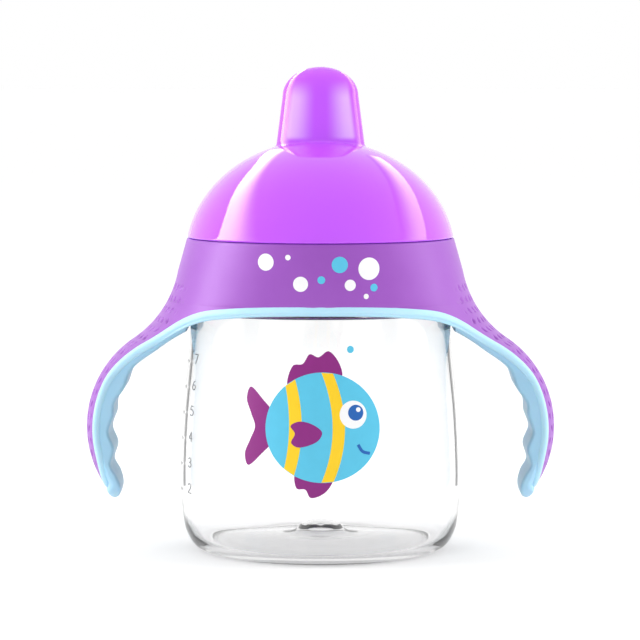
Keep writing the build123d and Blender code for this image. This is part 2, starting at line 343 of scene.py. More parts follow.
def tinted_plastic():
    """The cap's tint, with a slight painted glow: its emission stands in for light that shines through the
    clear wall. The spout cover also has painted highlights beside its middle.
    """
    # Emission is painted light: a faint glow in the cap's colour that stands in for light passing through its
    # wall.
    material, tree, shader = principled(
        "tinted_plastic", (0.68, 0.12, 1.0), Transmission_Weight=0.30, IOR=1.42, Coat_Weight=0.7,
        Coat_Roughness=0.05, Emission_Color=(0.35, 0.05, 1.0, 1.0), Emission_Strength=0.10
    )
    vary_roughness(tree, shader, 120.0, 0.05, 0.08)
    tint = vary_colour(tree, shader, 40.0, (0.67, 0.105, 1.0), (0.69, 0.115, 1.0), detail=1.0)
    # Painted highlight: where the mask is high, the tint pales towards a light lilac that stands in for light
    # on the spout cover's sides.
    blend = tree.nodes.new("ShaderNodeMix")
    blend.data_type = "RGBA"
    tree.links.new(painted_spout_highlight(tree), blend.inputs["Factor"])
    tree.links.new(tint, blend.inputs[MIX_COLOUR_A])
    blend.inputs[MIX_COLOUR_B].default_value = (0.97, 0.66, 1.0, 1.0)
    tree.links.new(blend.outputs[MIX_COLOUR_RESULT], shader.inputs["Base Color"])
    return material


def soft_rubber(name, dark, light, sheen):
    return surface(
        name, light, (700.0, 0.40, 0.52), (90.0, dark, light), (5200.0, 0.00003, 0.3),
        IOR=1.42, Subsurface_Weight=0.15, Subsurface_Scale=0.002, Sheen_Weight=sheen, Sheen_Roughness=0.35
    )


def ink(name, colour):
    """Screen-printed ink: nearly flat, a little mottled."""
    deep = tuple(0.97 * c for c in colour)
    return surface(name, colour, (800.0, 0.32, 0.42), (300.0, deep, colour), IOR=1.45)


# A mix node's colour sockets share their names with its number sockets, so they go by their places.
MIX_COLOUR_A = 6
MIX_COLOUR_B = 7
MIX_COLOUR_RESULT = 2

CLEAR = clear_plastic()
TINTED = tinted_plastic()
PURPLE = surface(
    "satin_purple", (0.32, 0.08, 0.50), (900.0, 0.34, 0.44),
    (60.0, (0.31, 0.075, 0.49), (0.33, 0.085, 0.515)), (4200.0, 0.00003, 0.25),
    IOR=1.45, Coat_Weight=0.08, Coat_Roughness=0.3
)
# The bead and the grips are one soft overmould. The bead's lighter blue is painted light: a lit copy of the
# grips' blue for the side light that falls on the bead.
GRIP_BLUE = soft_rubber("grip_blue", (0.375, 0.655, 0.86), (0.395, 0.675, 0.88), 0.15)
SIDE_LIT_BEAD_BLUE = soft_rubber("side_lit_bead_blue", (0.47, 0.77, 0.95), (0.49, 0.79, 0.97), 0.6)
RING_PURPLE = surface(
    "ring_purple", (0.50, 0.14, 0.78), (500.0, 0.20, 0.28), (70.0, (0.46, 0.12, 0.74), (0.50, 0.14, 0.78)),
    IOR=1.49, Coat_Weight=0.4, Coat_Roughness=0.08
)
LILAC = surface(
    "lid_lilac", (0.72, 0.42, 0.95), (500.0, 0.22, 0.30), (70.0, (0.71, 0.40, 0.94), (0.73, 0.44, 0.96)),
    IOR=1.49, Subsurface_Weight=0.2, Subsurface_Scale=0.002, Coat_Weight=0.3, Coat_Roughness=0.1
)
SILICONE = surface(
    "milky_silicone", (0.90, 0.91, 0.92), (600.0, 0.38, 0.5),
    IOR=1.41, Transmission_Weight=0.35, Subsurface_Weight=0.2, Subsurface_Scale=0.003
)
WHITE_INK = ink("white_ink", (0.95, 0.95, 0.96))
SKY_INK = ink("sky_ink", (0.10, 0.56, 0.80))
YELLOW_INK = ink("yellow_ink", (0.98, 0.64, 0.01))
MAGENTA_INK = ink("magenta_ink", (0.26, 0.012, 0.21))
NAVY_INK = ink("navy_ink", (0.01, 0.12, 0.45))
DIGIT_RELIEF = surface(
    "frosted_relief", (0.40, 0.40, 0.41), (900.0, 0.35, 0.5), IOR=1.49, Transmission_Weight=0.3
)


# ---------------- cup

def cup_outside():
    """Outer half-section of the clear cup, from the shoulder down to the foot."""
    return through(
        [(CUP_WAIST, CUP_SHOULDER - 1.8), (36.2, 56.4), (37.8, 40.0), (38.45, 28.0), (CUP_BELLY, 19.0),
         (38.25, 11.0), (37.3, 5.6), (34.9, 1.5), (31.8, 0.0)]
    )


OUTSIDE = cup_outside()


def cup_radius(height):
    """Outer radius of the clear cup at a height below the shoulder."""
    for upper, lower in zip(OUTSIDE, OUTSIDE[1:]):
        if lower.y <= height <= upper.y:
            t = (height - lower.y) / max(1e-9, upper.y - lower.y)
            return lower.x + (upper.x - lower.x) * t
    return OUTSIDE[0].x


def thread_lift(height, angle):
    """How far the neck's right-hand thread stands out at a height and an angle."""
    best = 0.0
    for turn in (0.0, 1.0):
        along = angle / math.tau + turn
        if along <= THREAD_TURNS:
            away = abs(height - THREAD_START - THREAD_LEAD * along)
            ends = smoothstep(0.0, 0.04, along) * smoothstep(0.0, 0.04, THREAD_TURNS - along)
            best = max(best, (1.0 - smoothstep(0.45, 1.0, away)) * ends)
    return best


def make_cup():
    """Clear cup turned from one closed profile, with a thread on its neck."""
    inside = through(
        [(0.0, 7.6), (2.6, 7.5), (5.0, 6.8), (7.0, 5.1), (8.8, 4.3), (14.0, 3.6), (20.0, 2.8), (25.5, 2.1),
         (29.0, 1.8), (31.6, 2.1), (34.0, 3.6), (35.9, 6.9), (36.8, 12.0), (37.1, 19.0), (36.9, 28.0),
         (36.2, 40.0), (34.6, 56.4), (33.8, 66.4)]
    )
    neck = [Vector((CUP_MOUTH, CUP_SHOULDER - 1.2)), Vector((CUP_MOUTH, 74.0))]
    neck += arc((CUP_MOUTH + 0.9, CUP_RIM - 0.9), 0.9, 180, 0, 8)
    steps = 36
    threaded = [Vector((CUP_NECK, 84.0 - 10.0 * i / steps)) for i in range(steps + 1)]
    shoulder = [Vector((CUP_NECK, CUP_SHOULDER))] + arc((CUP_WAIST - 1.8, CUP_SHOULDER - 1.8), 1.8, 90, 0, 6)
    under = [Vector((30.8, 0.0))]
    under += through([(29.4, 0.5), (25.5, 0.8), (20.0, 1.4), (14.0, 2.1), (9.2, 2.7), (7.4, 3.5), (5.4, 5.1),
                      (3.0, 5.9), (0.0, 6.1)])
    profile = inside + neck + threaded + shoulder + OUTSIDE[1:] + under

    def threaded_radius(radius, height, angle):
        on_neck = abs(radius - CUP_NECK) < 1e-6 and height > CUP_SHOULDER + 1.0
        return radius + THREAD_DEPTH * thread_lift(height, angle) if on_neck else radius

    points, faces = lathe(profile, 192, threaded_radius)
    mesh_object("clear_cup", points, faces, CLEAR, "cup", "clear_cup", "cup_body")


# ---------------- collar skin

def bend_radius():
    """Radius at which the flare's arc and the grip's arc touch, with the grip reaching HANDLE_REACH."""
    spread = FLARE_CENTRE[0] - HANDLE_REACH
    drop = FLARE_CENTRE[1] - GRIP_HEIGHT
    return (spread + math.sqrt(4 * spread ** 2 + 3 * drop ** 2)) / 3


BEND_RADIUS = bend_radius()


def half_width(height, inset=0.0):
    """Half-width along X of the collar's level section, this far inside its outer skin."""
    if height > FLARE_TOP:
        foot = half_width(FLARE_TOP, inset)
        rise = (height - FLARE_TOP) / (COLLAR_TOP - FLARE_TOP)
        return foot + (COLLAR_TOP_RADIUS - inset - foot) * rise
    flare_x, flare_z = FLARE_CENTRE
    share = (BEND_RADIUS - inset) / (2 * BEND_RADIUS)
    if height > GRIP_HEIGHT + share * (flare_z - GRIP_HEIGHT):
        return flare_x - math.sqrt((BEND_RADIUS + inset) ** 2 - (height - flare_z) ** 2)
    return HANDLE_REACH - BEND_RADIUS + math.sqrt((BEND_RADIUS - inset) ** 2 - (height - GRIP_HEIGHT) ** 2)


def half_depth(height, inset=0.0):
    """Half-depth along Y of the collar's level section."""
    rise = max(0.0, (height - CROSSOVER) / (COLLAR_TOP - CROSSOVER))
    return BAND_RADIUS - inset + (COLLAR_TOP_RADIUS - BAND_RADIUS) * rise ** 2


def skin_point(angle, height, side=1.0, inset=0.0):
    """Point of the collar's skin. angle runs from the front, -90 degrees, to the back, +90."""
    a = half_width(height, inset)
    b = half_depth(height, inset)
    return Vector((side * a * math.cos(angle), b * math.sin(angle), height))


def skin_normal(angle, height, side=1.0):
    """Outward normal of the collar's skin."""
    e = 0.01
    along = skin_point(angle + e, height, side) - skin_point(angle - e, height, side)
    up = skin_point(angle, height + e, side) - skin_point(angle, height - e, side)
    normal = along.cross(up).normalized()
    return normal if normal.dot(skin_point(angle, height, side) - Vector((0, 0, height))) > 0 else -normal


def arch_path(grow):
    """Lower edge of the shell in (Y, Z) from the front round the handle's tip to halfway: one quarter."""
    half = HANDLE_HALF_WIDTH + grow
    top = ARCH_TOP - grow
    curve = [
        (BAND_RADIUS + 6.0, top), (BAND_RADIUS - 0.1, top - 0.1),
        (30.2 + 0.3 * grow, 68.8 - 0.97 * grow), (24.6 + 0.4 * grow, 67.5 - 0.9 * grow),
        (19.2 + 0.55 * grow, 64.5 - 0.85 * grow), (14.9 + 0.75 * grow, 60.0 - 0.7 * grow),
        (11.3 + 0.9 * grow, 54.0 - 0.4 * grow), (half + 0.15, 49.0), (half, BEND_HEIGHT - 2.0),
    ]
    path = [p for p in through(curve, 0.3) if p.x <= BAND_RADIUS + 1.0]
    tip = SHELL_TIP - grow
    straight = round((BEND_HEIGHT - 2.0 - tip - half) / 0.3)
    for i in range(1, straight):
        path.append(Vector((half, BEND_HEIGHT - 2.0 + (tip + half - BEND_HEIGHT + 2.0) * i / straight)))
    path += arc((0.0, tip + half), half, 0, -90, 40)
    return path


def outline(grow):
    """The shell's lower edge on the skin, as (angle, height), from the front centre to the back centre."""
    quarter = []
    for y, z in arch_path(grow):
        ratio = y / half_depth(z)
        if ratio < 1.0:
            quarter.append((math.asin(ratio), z))
    start = (math.pi / 2, quarter[0][1])
    front = [(-a, z) for a, z in [start] + quarter]
    back = [(a, z) for a, z in reversed([start] + quarter[:-1])]
    return front + back


# ---------------- handle shell

DIMPLE_DEPTH = 0.5
DIMPLE_PITCH = (3.3, 3.4)
DIMPLE_HALF = (0.62, 1.3)


def dimple(down, across):
    """Depth from 0 to 1 of the slanted dash-shaped dimples, by distance down and across the handle."""
    pitch_across, pitch_down = DIMPLE_PITCH
    row = round(down / pitch_down)
    shift = 0.5 * pitch_across if row % 2 else 0.0
    column = round((across - shift) / pitch_across)
    dx = across - shift - column * pitch_across
    dy = down - row * pitch_down
    lean = math.radians(35.0 if row % 2 else -35.0)
    u = dx * math.cos(lean) + dy * math.sin(lean)
    v = -dx * math.sin(lean) + dy * math.cos(lean)
    return 1.0 - smoothstep(0.45, 1.0, math.hypot(u / DIMPLE_HALF[0], v / DIMPLE_HALF[1]))


def shell_rows():
    """Heights down one side of the shell and how far round each row reaches, from top to tip."""
    rows = [(COLLAR_TOP - 0.03 * i * i, math.pi / 2) for i in range(4)]
    while rows[-1][0] > ARCH_TOP + 0.6:
        coarse = rows[-1][0] > FLARE_TOP
        rows.append((rows[-1][0] - (0.8 if coarse else 0.3), math.pi / 2))
    edge = outline(0.7)
    for angle, z in edge[: len(edge) // 2 + 1]:
        if z < rows[-1][0] - 0.02:
            rows.append((z, max(-angle, 1e-4)))
    return rows


def spread(t, reach):
    """Where column t, from -1 to 1, stands in a row: closer together on the handle's back."""
    crowd = 0.68 * smoothstep(0.4, 1.4, reach)
    return reach * t * (1.0 - crowd + crowd * t * t)


def outer_point(angle, height, side, reach, down):
    """Point of the shell's outer skin, sunk where a dimple lies. down is the distance along its spine."""
    edge_round = 0.4 * max(0.0, (height - COLLAR_TOP + 0.3) / 0.3) ** 2
    point = skin_point(angle, height, side, edge_round)
    edge_y = half_depth(height) * math.sin(reach)
    field = smoothstep(1.4, 2.2, edge_y - abs(point.y)) if reach < 1.5 else 1.0
    field *= smoothstep(12.5, 13.0, down) * (1.0 - smoothstep(15.5, 16.5, abs(point.y)))
    field *= smoothstep(1.8, 2.8, height - SHELL_TIP)
    if field > 0.0:
        normal = skin_normal(angle, min(height, COLLAR_TOP - 0.02), side)
        point -= normal * DIMPLE_DEPTH * field * dimple(down, point.y)
    return point


def inner_point(angle, height, side):
    """Point of the shell's inner face: a thin wall on the handles, a round bore in the band."""
    deep = skin_point(angle, height, side, SHELL_WALL)
    bore = COLLAR_BORE if height > LEDGE[2] else SKIRT_BORE
    ring = Vector((side * bore * math.cos(angle), bore * math.sin(angle), height))
    point = deep.lerp(ring, smoothstep(61.0, 66.5, height))
    radius = math.hypot(point.x, point.y)
    if radius < bore:
        point.x *= bore / radius
        point.y *= bore / radius
    return point


def make_shell():
    """Rigid collar: band and handle backs as one skin, dimpled on the handles, closed inside."""
    columns = 176
    inner_columns = 44
    ratio = columns // inner_columns
    rows = shell_rows()
    points = []
    faces = []
    for side in (1.0, -1.0):
        outer_rows = []
        inner_rows = []
        down = 0.0
        last = skin_point(0.0, rows[0][0], side)
        for height, reach in rows:
            spine = skin_point(0.0, height, side)
            down += (spine - last).length
            last = spine
            angles = [spread(2.0 * j / columns - 1.0, reach) for j in range(columns + 1)]
            outer_rows.append(add_row(points, [outer_point(a, height, side, reach, down) for a in angles]))
            angles = [spread(2.0 * j / inner_columns - 1.0, reach) for j in range(inner_columns + 1)]
            inner_rows.append(add_row(points, [inner_point(a, height, side) for a in angles]))
        for skin in (outer_rows, inner_rows):
            for upper, lower in zip(skin, skin[1:]):
                faces += strip_faces(upper, lower, closed=False)
        for k in range(len(rows) - 1):
            if rows[k + 1][1] < math.pi / 2 - 1e-6:
                outer, outer_next = outer_rows[k], outer_rows[k + 1]
                inner, inner_next = inner_rows[k], inner_rows[k + 1]
                faces += [(outer[end], outer_next[end], inner_next[end], inner[end]) for end in (0, -1)]
        for j in range(inner_columns):
            for outer_row, inner_row in ((outer_rows[0], inner_rows[0]), (outer_rows[-1], inner_rows[-1])):
                rim = outer_row[j * ratio : (j + 1) * ratio + 1]
                faces.append([inner_row[j + 1], inner_row[j]] + rim)
    mesh_object("handle_shell_skin", points, faces, PURPLE, "collar", "satin_purple", "handle_shell")

    inner, bottom, top = LEDGE
    outer = COLLAR_BORE + 0.4
    profile = [Vector(p) for p in ((inner, bottom), (outer, bottom), (outer, top), (inner, top))]
    points, faces = lathe(profile + profile[:1], 96)
    mesh_object("collar_ledge", points, faces, PURPLE, "collar", "satin_purple")


# ---------------- soft overmould

def bead_section(height):
    """Cross-section of the bead: (out over the edge, away from the skin), thicker on the handles."""
    handle = 1.0 - smoothstep(58.0, 66.0, height)
    thick = 1.28 + 0.95 * handle
    lip = 1.05 * (1.0 - handle)
    width = 1.05
    count = 28
    section = []
    for i in range(count):
        a = math.tau * i / count
        c = math.copysign(abs(math.cos(a)) ** 0.88, math.cos(a))
        n = math.copysign(abs(math.sin(a)) ** 0.88, math.sin(a))
        out = 0.92 + width * c
        away = 0.12 - thick / 2 + thick / 2 * n
        if c > 0 and n < -0.35:
            out += lip * smoothstep(-0.35, -0.7, n)
        section.append((out, away))
    return section


def even_loop(spots, normals, step, passes=12):
    """Evenly spaced (point, normal) pairs along a closed loop, with its small kinks smoothed out."""
    count = len(spots)
    pairs = []
    reach = 0.0
    for i in range(count):
        a, b = spots[i], spots[(i + 1) % count]
        length = (b - a).length
        while reach < length:
            t = reach / length
            pairs.append((a.lerp(b, t), normals[i].lerp(normals[(i + 1) % count], t).normalized()))
            reach += step
        reach -= length
    for _ in range(passes):
        around = zip(pairs[-1:] + pairs[:-1], pairs, pairs[1:] + pairs[:1])
        pairs = [((a[0] + 2 * b[0] + c[0]) / 4, (a[1] + 2 * b[1] + c[1]).normalized()) for a, b, c in around]
    return pairs


def make_bead():
    """One soft bead along the whole lower edge of the shell, round both handles."""
    loop = []
    for side in (1.0, -1.0):
        half = [(a, z, side) for a, z in outline(0.0)]
        loop += half if side > 0 else half[::-1]
    placed = even_loop([skin_point(*spot) for spot in loop], [skin_normal(*spot) for spot in loop], 0.3)
    points = []
    rings = []
    size = len(placed)
    first = placed[0][1].cross(placed[1][0] - placed[-1][0])
    sign = -1.0 if first.z > 0 else 1.0
    for i, (point, normal) in enumerate(placed):
        tangent = (placed[(i + 1) % size][0] - placed[i - 1][0]).normalized()
        out = normal.cross(tangent).normalized() * sign
        rings.append(add_row(points, [point + out * c + normal * n for c, n in bead_section(point.z)]))
    faces = []
    for i in range(size):
        faces += strip_faces(rings[i], rings[(i + 1) % size], closed=True)
    mesh_object("soft_bead", points, faces, SIDE_LIT_BEAD_BLUE, "collar", "soft_blue", "front_trim", "back_trim")


EDGE_PATH = arch_path(0.0)


def edge_width(height):
    """Half-width of the handle at a height, from the shell's outline."""
    for lower, upper in zip(EDGE_PATH[::-1], EDGE_PATH[-2::-1]):
        if lower.y <= height <= upper.y and upper.y > BEND_HEIGHT - 10.0:
            t = (height - lower.y) / max(1e-9, upper.y - lower.y)
            return lower.x + (upper.x - lower.x) * t
    return HANDLE_HALF_WIDTH


def padded_section(thick, width, corner=1.5):
    """Rounded rectangle as (distance from the finger side, across), the same count of points every time."""
    r = min(corner, 0.48 * thick, 0.48 * width)
    centres = [(thick - r, width - r), (r, width - r), (r, r - width), (thick - r, r - width)]
    section = []
    for quarter, (d, y) in enumerate(centres):
        for i in range(7):
            a = math.radians(90.0 * (quarter + i / 6))
            section.append((d + r * math.cos(a), y + r * math.sin(a)))
        following = centres[(quarter + 1) % 4]
        out_d, out_y = section[-1][0] - d, section[-1][1] - y
        between = 5 if quarter % 2 == 0 else 12
        for i in range(1, between):
            t = i / between
            section.append((d + (following[0] - d) * t + out_d, y + (following[1] - y) * t + out_y))
    return section


def make_grip(name, node, side):
    """Padded core of one handle, scalloped for fingers, with a rounded tip."""
    fingers = [(56.9, GRIP_TIP), (55.6, 15.0), (54.9, 17.5), (55.8, 20.9), (57.5, 24.1), (56.5, 28.6),
               (58.0, 33.2), (56.6, 37.8), (56.3, 41.2), (53.6, 45.4), (51.4, 50.6), (44.4, 56.1),
               (40.2, 59.1), (36.3, 61.4)]
    back = [(56.9, GRIP_TIP), (58.2, 14.9), (59.2, 16.4)]
    back += [(half_width(z, 0.9), z) for z in (18.6, 21.5, 25.0, 29.0, 34.0, 40.0, 46.0, 51.0, 55.0)]
    back += [(half_width(z, 1.5), z) for z in (59.0, 62.0, 65.5)]
    stations = 170
    fingers = resample(through(fingers, 0.3), stations)
    back = resample(through(back, 0.3), stations)
    bore = SKIRT_BORE + 0.05
    tip_radius = HANDLE_HALF_WIDTH + CORE_SPREAD
    bottom = GRIP_TIP + tip_radius
    points = []
    rings = []
    for f, b in zip(fingers, back):
        middle = (f.y + b.y) / 2
        width = tip_radius
        if middle < bottom:
            width = math.sqrt(max(0.0, tip_radius ** 2 - (bottom - middle) ** 2))
        thick = (b - f).length
        ring = []
        for distance, across in padded_section(thick, width):
            d = distance / max(1e-6, thick)
            flat = f.lerp(b, d)
            y = across * (edge_width(flat.y) + CORE_SPREAD) / tip_radius
            bow = half_width(b.y) * (1.0 - math.sqrt(max(0.0, 1.0 - (y / half_depth(b.y)) ** 2)))
            x = flat.x - bow * d
            if math.hypot(x, y) < bore:
                x = math.sqrt(max(1.0, bore ** 2 - y * y))
            ring.append(Vector((side * x, y, flat.y)))
        rings.append(add_row(points, ring))
    faces = []
    for lower, upper in zip(rings, rings[1:]):
        faces += strip_faces(lower, upper, closed=True)
    faces.append(rings[-1])
    mesh_object(name, points, faces, GRIP_BLUE, "collar", "soft_blue", node)


# ---------------- cap and lid

def oval_radius(a, b, angle):
    """Distance from the axis to an ellipse, in a direction."""
    return 1.0 / math.hypot(math.cos(angle) / a, math.sin(angle) / b)


def domed_spout(spout, dome, fillet, foot, segments=144):
    """Rows of points down an oval spout, over a fillet and down a dome, in every direction.

    spout is (half-width, half-depth, level, top); dome is (half-width, half-height, centre height).
    """
    a, b, level, top = spout
    dome_r, dome_h, centre = dome

    def spout_radius(z, angle):
        if z >= level:
            shrink = math.sqrt(max(0.0, 1.0 - ((z - level) / (top - level)) ** 2))
            return oval_radius(a, b, angle) * shrink
        return oval_radius(a, b, angle) * (1.0 + SPOUT_TAPER * (level - z) / a)

    def dome_height(radius):
        return centre + dome_h * math.sqrt(max(0.0, 1.0 - (radius / dome_r) ** 2))

    crown, flank, blend, cover = 14, 12, 7, 34
    columns = []
    for j in range(segments):
        angle = math.tau * j / segments
        join = level
        floor = centre
        for _ in range(30):
            middle = (join + floor) / 2
            if middle > dome_height(spout_radius(middle, angle)):
                join = middle
            else:
                floor = middle
        join_radius = spout_radius(join, angle)
        column = []
        for i in range(crown):
            t = math.radians(90.0 * i / crown)
            z = level + (top - level) * math.cos(t)
            column.append((spout_radius(z, angle), z))
        start = join + fillet
        for i in range(flank):
            z = level + (start - level) * i / flank
            column.append((spout_radius(z, angle), z))
        p0 = Vector((spout_radius(start, angle), start))
        p1 = Vector((join_radius, join))
        end_radius = join_radius + fillet
        p2 = Vector((end_radius, dome_height(end_radius)))
        for i in range(blend):
            t = i / blend
            p = p0 * (1 - t) ** 2 + p1 * (2 * t * (1 - t)) + p2 * t * t
            column.append((p.x, p.y))
        first = math.asin(min(1.0, end_radius / dome_r))
        last = math.acos((foot - centre) / dome_h)
        for i in range(cover + 1):
            t = first + (last - first) * i / cover
            column.append((dome_r * math.sin(t), centre + dome_h * math.cos(t)))
        columns.append([Vector((r * math.cos(angle), r * math.sin(angle), z)) for r, z in column])
    return [[column[i] for column in columns] for i in range(len(columns[0]))]


def add_rows(points, rows):
    """Adds rows of points and returns their numbers. A row of one spot becomes one point."""
    numbered = []
    for row in rows:
        start = len(points)
        if all((p - row[0]).length < 1e-5 for p in row):
            points.append(row[0])
            numbered.append([start] * len(row))
        else:
            points.extend(row)
            numbered.append(list(range(start, start + len(row))))
    return numbered


def skin_rows(rows):
    """Faces between rows that each go all the way round."""
    faces = []
    for upper, lower in zip(rows, rows[1:]):
        for a, b, c, d in strip_faces(upper, lower, closed=True):
            faces.append([a, b, c, d] if a != b else [a, c, d])
    return faces


def ring_row(radius, height, segments=144):
    """One level circle of points."""
    angles = [math.tau * j / segments for j in range(segments)]
    return [Vector((radius * math.cos(a), radius * math.sin(a), height)) for a in angles]


def make_cap():
    """Tinted hygiene cap: dome and spout cover with real wall thickness, lip and sealing nub."""
    dome = (CAP_HALF_WIDTH, CAP_HALF_HEIGHT, CAP_CENTRE)
    hollow = (CAP_HALF_WIDTH - CAP_WALL, CAP_HALF_HEIGHT - CAP_WALL, CAP_CENTRE)
    half_x, half_y = SPOUT_HALF
    level = CAP_TOP - SPOUT_CROWN
    outer = domed_spout((half_x, half_y, level, CAP_TOP), dome, 0.8, CAP_BOTTOM + 0.5)
    core = (half_x - CAP_WALL, half_y - CAP_WALL, level, CAP_TOP - 2.1)
    inner = domed_spout(core, hollow, 1.6, CAP_BOTTOM + 3.6)
    nub_reach = 1.9
    for row in inner:
        for p in row:
            if p.z > CAP_TOP - 6.0:
                p.z -= 1.1 * math.exp(-((p.x / nub_reach) ** 2 + (p.y / nub_reach) ** 2))
    foot_radius = math.sqrt(outer[-1][0].length_squared - (CAP_BOTTOM + 0.5) ** 2)
    lip = ((foot_radius + 0.02, 0.2), (foot_radius - 0.2, 0.0), (CAP_LIP + 0.3, 0.0), (CAP_LIP, 0.3),
           (CAP_LIP, 2.2), (CAP_LIP + 0.1, 2.6))
    rim = [ring_row(radius, CAP_BOTTOM + rise) for radius, rise in lip]
    points = []
    numbered = add_rows(points, outer + rim + inner[::-1])
    mesh_object("cap_shell", points, skin_rows(numbered), TINTED, "cap", "tinted_cap", "snap_cap")


def finish_cad_nodes():
    """The closure's inner parts keep their CAD shape and get their finish."""
    finishes = {"screw_ring": RING_PURPLE, "spout_lid": LILAC, "lid_gasket": SILICONE, "flow_valve": SILICONE}
    for node, material in finishes.items():
        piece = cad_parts[node]
        piece.data.materials.clear()
        piece.data.materials.append(material)


# ---------------- printing

PRINT_RADIUS = 38.0
LONGEST_PRINT_EDGE = 1.6


def wrap_on_cup(u, v, lift, azimuth=0.0):
    """A flat drawing's point on the cup wall: u to the right and v up, seen from outside."""
    radius = cup_radius(v) + lift
    angle = azimuth + u / PRINT_RADIUS
    return Vector((radius * math.sin(angle), FRONT * radius * math.cos(angle), v))


def wrap_on_band(u, v, lift):
    """A flat drawing's point on the collar's band."""
    x = BAND_RADIUS * math.sin(u / BAND_RADIUS)
    angle = -math.acos(abs(x) / half_width(v))
    side = math.copysign(1.0, x)
    return skin_point(angle, v, side) + skin_normal(angle, v, side) * lift


def print_patch(name, outlines, wrap, lift, material, body, finish, sunk=0.03):
    """Ink patches: each flat outline is filled, cut fine enough to follow the wall, and given thickness."""
    work = bmesh.new()
    for flat in outlines:
        work.faces.new([work.verts.new((p[0], p[1], 0.0)) for p in flat])
    bmesh.ops.triangulate(work, faces=work.faces)
    for _ in range(6):
        long_edges = [e for e in work.edges if e.calc_length() > LONGEST_PRINT_EDGE]
        if not long_edges:
            break
        bmesh.ops.subdivide_edges(work, edges=long_edges, cuts=1)
        bmesh.ops.triangulate(work, faces=[f for f in work.faces if len(f.verts) > 3])
    result = bmesh.ops.extrude_face_region(work, geom=list(work.faces))
    for vert in result["geom"]:
        if isinstance(vert, bmesh.types.BMVert):
            vert.co.z = 1.0
    points = []
    for i, vert in enumerate(work.verts):
        vert.index = i
        depth = lift if vert.co.z > 0.5 else -sunk
        points.append(wrap(vert.co.x, vert.co.y, depth))
    faces = [[v.index for v in face.verts] for face in work.faces]
    work.free()
    piece = mesh_object(name, points, faces, material, body, finish)
    for face in piece.data.polygons:
        face.use_smooth = False


def disc(u, v, radius, count=40):
    """Outline of a round spot."""
    angles = [math.tau * i / count for i in range(count)]
    return [(u + radius * math.cos(a), v + radius * math.sin(a)) for a in angles]


def closed_curve(points, step=0.5):
    """Smooth closed outline through points."""
    path = through(points[-2:] + points + points[:3], step)
    first = Vector(points[0])
    start, end = [i for i, p in enumerate(path) if (p - first).length < 1e-3]
    return [(p.x, p.y) for p in path[start:end]]


def ribbon(path, width):
    """Outline of a stroke of even width along a flat path."""
    left = []
    right = []
    for i, point in enumerate(path):
        along = (path[min(i + 1, len(path) - 1)] - path[max(i - 1, 0)]).normalized()
        across = Vector((-along.y, along.x)) * (width / 2)
        left.append(tuple(point + across))
        right.append(tuple(point - across))
    return left + right[::-1]


def stretch(outline_points, scale, place):
    """A flat outline scaled and put in its place."""
    return [(place[0] + scale[0] * x, place[1] + scale[1] * y) for x, y in outline_points]


def make_band_print():
    """Scattered round bubbles on the collar's front: across, height, radius."""
    white = [(-14.9, 81.3, 2.26), (-8.7, 82.6, 0.74), (-5.3, 75.6, 2.0), (7.9, 75.3, 1.5), (13.1, 79.6, 2.97),
             (12.3, 72.3, 0.71)]
    blue = [(0.2, 76.7, 1.03), (5.1, 80.7, 2.16), (14.5, 74.6, 1.03)]
    for name, bubbles, material in (("white", white, WHITE_INK), ("blue", blue, SKY_INK)):
        discs = [disc(*b) for b in bubbles]
        print_patch("band_bubbles_" + name, discs, wrap_on_band, 0.03, material, "collar", "satin_purple")


FISH_CENTRE = (0.6, 37.6)
FISH_HALF = (15.6, 14.6)
INK_LAYER = 0.02


def on_body(lean, offset):
    """Smooth stripe edge across the fish's body: a bowed line clipped to the body's oval."""
    a, b = FISH_HALF
    edge = []
    for i in range(401):
        v = b * (i / 200.0 - 1.0)
        u = offset + lean * (1.0 - (v / b) ** 2)
        if (u / a) ** 2 + (v / b) ** 2 <= 1.0:
            edge.append((u, v))
    return edge[:1] + edge[5:-5:10] + edge[-1:]


